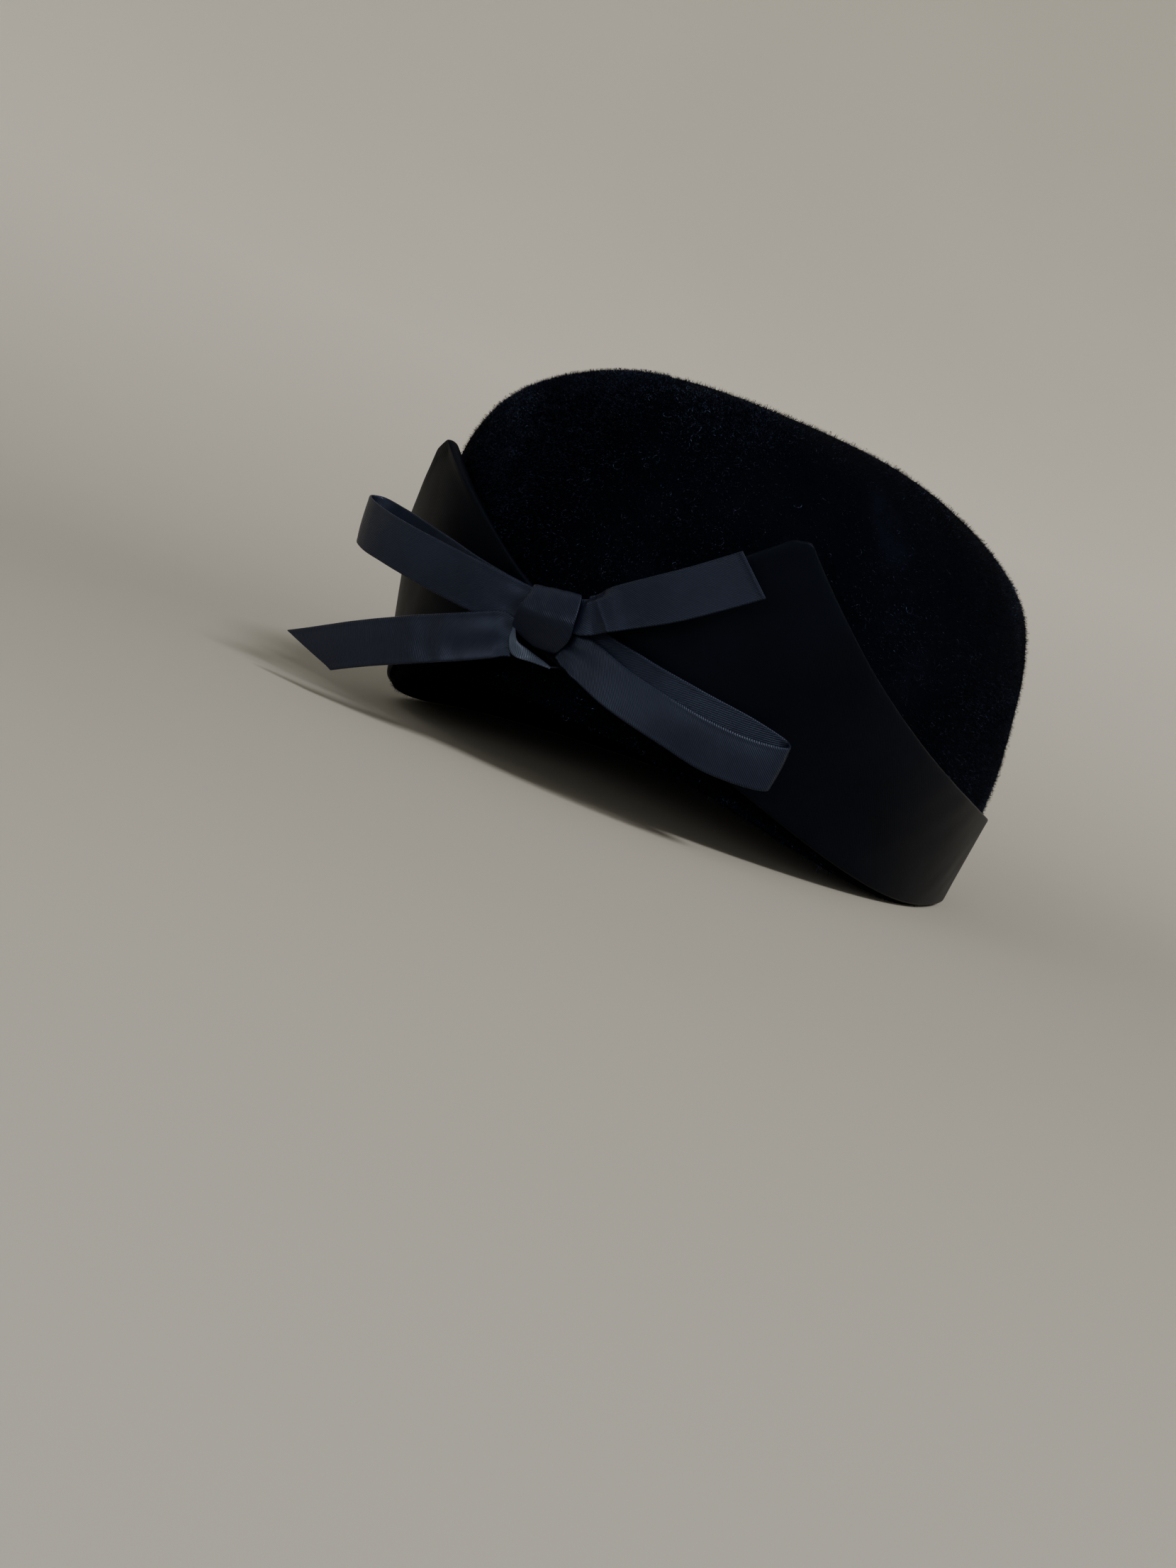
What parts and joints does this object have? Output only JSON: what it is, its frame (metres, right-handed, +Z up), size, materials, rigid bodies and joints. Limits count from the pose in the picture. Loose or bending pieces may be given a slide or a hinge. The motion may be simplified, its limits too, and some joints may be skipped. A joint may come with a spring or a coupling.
{
  "type": "half hat",
  "caption": "Small rounded felt hat with a stiff satin collar that rises to two points at the front and a flat ribbon bow tied over the notch.",
  "frame": {"origin": "on the surface the hat stands on, under the middle of the hat with its bow", "axes": "+Z up through the crown, -Y towards the front with the bow, +X towards the wearer's left"},
  "size_m": [0.1799, 0.2096, 0.1067],
  "materials": {
    "felt": "velour nap",
    "satin": "matte satin",
    "ribbon": "satin with a fine diagonal twill"
  },
  "bodies": {
    "root": {"crown": "felt", "collar_band": "satin", "bow_knot": "ribbon", "knot_fold": "ribbon", "bow_loop_left": "ribbon", "bow_loop_right": "ribbon", "bow_tail_left": "ribbon", "bow_tail_right": "ribbon"}
  },
  "joints": []
}
